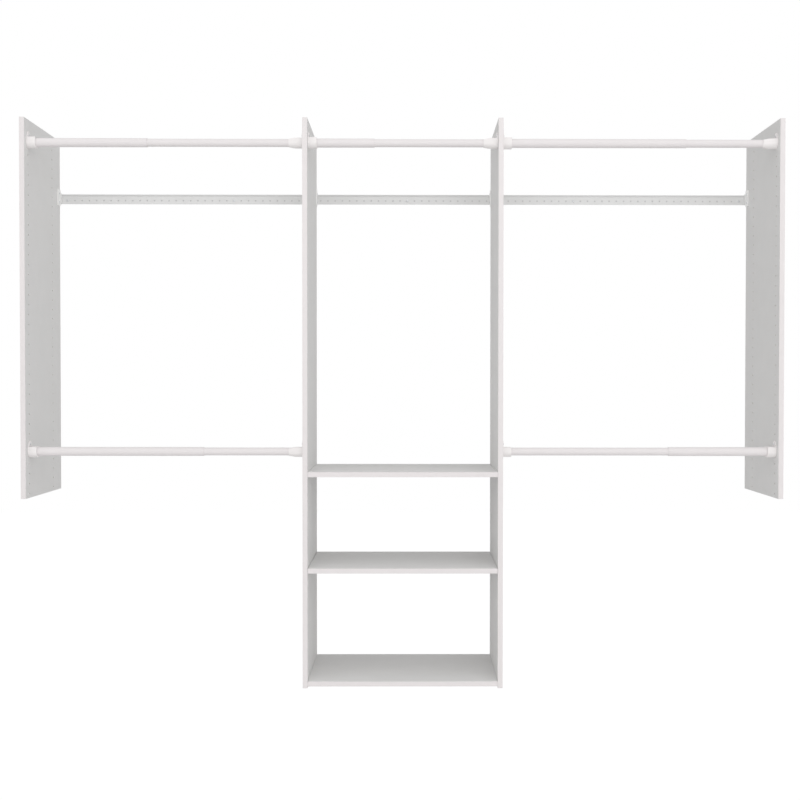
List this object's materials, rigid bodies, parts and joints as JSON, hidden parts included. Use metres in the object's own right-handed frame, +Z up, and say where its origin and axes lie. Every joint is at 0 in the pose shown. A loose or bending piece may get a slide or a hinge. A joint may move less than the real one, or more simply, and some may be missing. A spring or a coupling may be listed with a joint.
{
  "type": "wall mounted closet system",
  "caption": "White closet system hung from a steel wall rail: drilled vertical panels, a shelf tower between hanging bays, and telescoping rods in open cups.",
  "frame": {"origin": "on the back face of the wall rail, on the line of its holes, half-way along its length", "axes": "+X to the right along the rail, +Y into the wall, +Z up"},
  "size_m": [2.4384, 0.3716, 1.824],
  "materials": {
    "white_melamine_board": "satin white melamine on particle board",
    "white_edge_band": "satin white edge band",
    "white_painted_steel": "glossy white powder coat",
    "white_moulded_plastic": "moulded white plastic",
    "zinc_plated_steel": "bright zinc plate"
  },
  "bodies": {
    "root": {"bottom_left_rod_right_cup": "white_moulded_plastic", "bottom_right_rod_left_cup": "white_moulded_plastic", "bottom_shelf": "white_melamine_board", "bottom_shelf_bolt_left_front": "zinc_plated_steel", "bottom_shelf_bolt_left_rear": "zinc_plated_steel", "bottom_shelf_bolt_right_front": "zinc_plated_steel", "bottom_shelf_bolt_right_rear": "zinc_plated_steel", "bottom_shelf_edge_band": "white_edge_band", "hanging_rail": "white_painted_steel", "left_tower_hanger": "white_painted_steel", "left_tower_panel": "white_melamine_board", "left_tower_panel_edge_band": "white_edge_band", "right_tower_hanger": "white_painted_steel", "right_tower_panel": "white_melamine_board", "right_tower_panel_edge_band": "white_edge_band", "shelf_pin_left_front": "zinc_plated_steel", "shelf_pin_left_rear": "zinc_plated_steel", "shelf_pin_right_front": "zinc_plated_steel", "shelf_pin_right_rear": "zinc_plated_steel", "top_centre_rod_left_cup": "white_moulded_plastic", "top_centre_rod_right_cup": "white_moulded_plastic", "top_left_rod_right_cup": "white_moulded_plastic", "top_right_rod_left_cup": "white_moulded_plastic", "top_shelf": "white_melamine_board", "top_shelf_bolt_left_front": "zinc_plated_steel", "top_shelf_bolt_left_rear": "zinc_plated_steel", "top_shelf_bolt_right_front": "zinc_plated_steel", "top_shelf_bolt_right_rear": "zinc_plated_steel", "top_shelf_edge_band": "white_edge_band"},
    "left_side": {"left_side_panel": "white_melamine_board", "left_side_panel_edge_band": "white_edge_band", "left_side_hanger": "white_painted_steel", "top_left_rod_left_cup": "white_moulded_plastic", "bottom_left_rod_left_cup": "white_moulded_plastic"},
    "right_side": {"right_side_panel": "white_melamine_board", "right_side_panel_edge_band": "white_edge_band", "right_side_hanger": "white_painted_steel", "top_right_rod_right_cup": "white_moulded_plastic", "bottom_right_rod_right_cup": "white_moulded_plastic"},
    "top_left_rod_outer": {"top_left_rod_outer_tube": "white_painted_steel"},
    "top_left_rod_inner": {"top_left_rod_inner_tube": "white_painted_steel"},
    "top_centre_rod_outer": {"top_centre_rod_outer_tube": "white_painted_steel"},
    "top_centre_rod_inner": {"top_centre_rod_inner_tube": "white_painted_steel"},
    "top_right_rod_outer": {"top_right_rod_outer_tube": "white_painted_steel"},
    "top_right_rod_inner": {"top_right_rod_inner_tube": "white_painted_steel"},
    "bottom_left_rod_outer": {"bottom_left_rod_outer_tube": "white_painted_steel"},
    "bottom_left_rod_inner": {"bottom_left_rod_inner_tube": "white_painted_steel"},
    "bottom_right_rod_outer": {"bottom_right_rod_outer_tube": "white_painted_steel"},
    "bottom_right_rod_inner": {"bottom_right_rod_inner_tube": "white_painted_steel"},
    "middle_shelf": {"middle_shelf": "white_melamine_board", "middle_shelf_edge_band": "white_edge_band"},
    "top_shelf_cam_left_front": {"top_shelf_cam_left_front": "zinc_plated_steel"},
    "top_shelf_cam_left_rear": {"top_shelf_cam_left_rear": "zinc_plated_steel"},
    "top_shelf_cam_right_front": {"top_shelf_cam_right_front": "zinc_plated_steel"},
    "top_shelf_cam_right_rear": {"top_shelf_cam_right_rear": "zinc_plated_steel"},
    "bottom_shelf_cam_left_front": {"bottom_shelf_cam_left_front": "zinc_plated_steel"},
    "bottom_shelf_cam_left_rear": {"bottom_shelf_cam_left_rear": "zinc_plated_steel"},
    "bottom_shelf_cam_right_front": {"bottom_shelf_cam_right_front": "zinc_plated_steel"},
    "bottom_shelf_cam_right_rear": {"bottom_shelf_cam_right_rear": "zinc_plated_steel"}
  },
  "joints": [
    {"name": "left_side_slide", "type": "slide", "parent": "root", "child": "left_side", "axis": [1, 0, 0], "range_m": [0, 0.27]},
    {"name": "right_side_slide", "type": "slide", "parent": "root", "child": "right_side", "axis": [-1, 0, 0], "range_m": [0, 0.235]},
    {"name": "top_left_rod_lift", "type": "slide", "parent": "left_side", "child": "top_left_rod_outer", "axis": [0, 0, 1], "range_m": [0, 0.06]},
    {"name": "top_centre_rod_lift", "type": "slide", "parent": "root", "child": "top_centre_rod_outer", "axis": [0, 0, 1], "range_m": [0, 0.06]},
    {"name": "top_right_rod_lift", "type": "slide", "parent": "root", "child": "top_right_rod_outer", "axis": [0, 0, 1], "range_m": [0, 0.06]},
    {"name": "bottom_left_rod_lift", "type": "slide", "parent": "left_side", "child": "bottom_left_rod_outer", "axis": [0, 0, 1], "range_m": [0, 0.06]},
    {"name": "bottom_right_rod_lift", "type": "slide", "parent": "right_side", "child": "bottom_right_rod_outer", "axis": [0, 0, 1], "range_m": [0, 0.06]},
    {"name": "top_left_rod_telescope", "type": "slide", "parent": "top_left_rod_outer", "child": "top_left_rod_inner", "axis": [-1, 0, 0], "range_m": [0, 0.27]},
    {"name": "top_centre_rod_telescope", "type": "slide", "parent": "top_centre_rod_outer", "child": "top_centre_rod_inner", "axis": [-1, 0, 0], "range_m": [0, 0.1]},
    {"name": "top_right_rod_telescope", "type": "slide", "parent": "top_right_rod_outer", "child": "top_right_rod_inner", "axis": [-1, 0, 0], "range_m": [0, 0.28]},
    {"name": "bottom_left_rod_telescope", "type": "slide", "parent": "bottom_left_rod_outer", "child": "bottom_left_rod_inner", "axis": [-1, 0, 0], "range_m": [0, 0.3]},
    {"name": "bottom_right_rod_telescope", "type": "slide", "parent": "bottom_right_rod_outer", "child": "bottom_right_rod_inner", "axis": [1, 0, 0], "range_m": [0, 0.235]},
    {"name": "middle_shelf_lift", "type": "slide", "parent": "root", "child": "middle_shelf", "axis": [0, 0, 1], "range_m": [0, 0.256]},
    {"name": "top_shelf_cam_left_front_turn", "type": "hinge", "parent": "root", "child": "top_shelf_cam_left_front", "pos_m": [-0.2808, -0.3346, -0.94144], "axis": [0, 0, 1], "range_deg": [0, 180]},
    {"name": "top_shelf_cam_left_rear_turn", "type": "hinge", "parent": "root", "child": "top_shelf_cam_left_rear", "pos_m": [-0.2808, -0.1, -0.94144], "axis": [0, 0, 1], "range_deg": [0, 180]},
    {"name": "top_shelf_cam_right_front_turn", "type": "hinge", "parent": "root", "child": "top_shelf_cam_right_front", "pos_m": [0.2808, -0.3346, -0.94144], "axis": [0, 0, 1], "range_deg": [0, 180]},
    {"name": "top_shelf_cam_right_rear_turn", "type": "hinge", "parent": "root", "child": "top_shelf_cam_right_rear", "pos_m": [0.2808, -0.1, -0.94144], "axis": [0, 0, 1], "range_deg": [0, 180]},
    {"name": "bottom_shelf_cam_left_front_turn", "type": "hinge", "parent": "root", "child": "bottom_shelf_cam_left_front", "pos_m": [-0.2808, -0.3346, -1.61344], "axis": [0, 0, 1], "range_deg": [0, 180]},
    {"name": "bottom_shelf_cam_left_rear_turn", "type": "hinge", "parent": "root", "child": "bottom_shelf_cam_left_rear", "pos_m": [-0.2808, -0.1, -1.61344], "axis": [0, 0, 1], "range_deg": [0, 180]},
    {"name": "bottom_shelf_cam_right_front_turn", "type": "hinge", "parent": "root", "child": "bottom_shelf_cam_right_front", "pos_m": [0.2808, -0.3346, -1.61344], "axis": [0, 0, 1], "range_deg": [0, 180]},
    {"name": "bottom_shelf_cam_right_rear_turn", "type": "hinge", "parent": "root", "child": "bottom_shelf_cam_right_rear", "pos_m": [0.2808, -0.1, -1.61344], "axis": [0, 0, 1], "range_deg": [0, 180]}
  ],
  "couplings": [
    {"joint": "top_left_rod_telescope", "follows": "left_side_slide", "ratio": 1},
    {"joint": "bottom_left_rod_telescope", "follows": "left_side_slide", "ratio": 1},
    {"joint": "top_right_rod_telescope", "follows": "right_side_slide", "ratio": 1},
    {"joint": "bottom_right_rod_telescope", "follows": "right_side_slide", "ratio": 1}
  ]
}
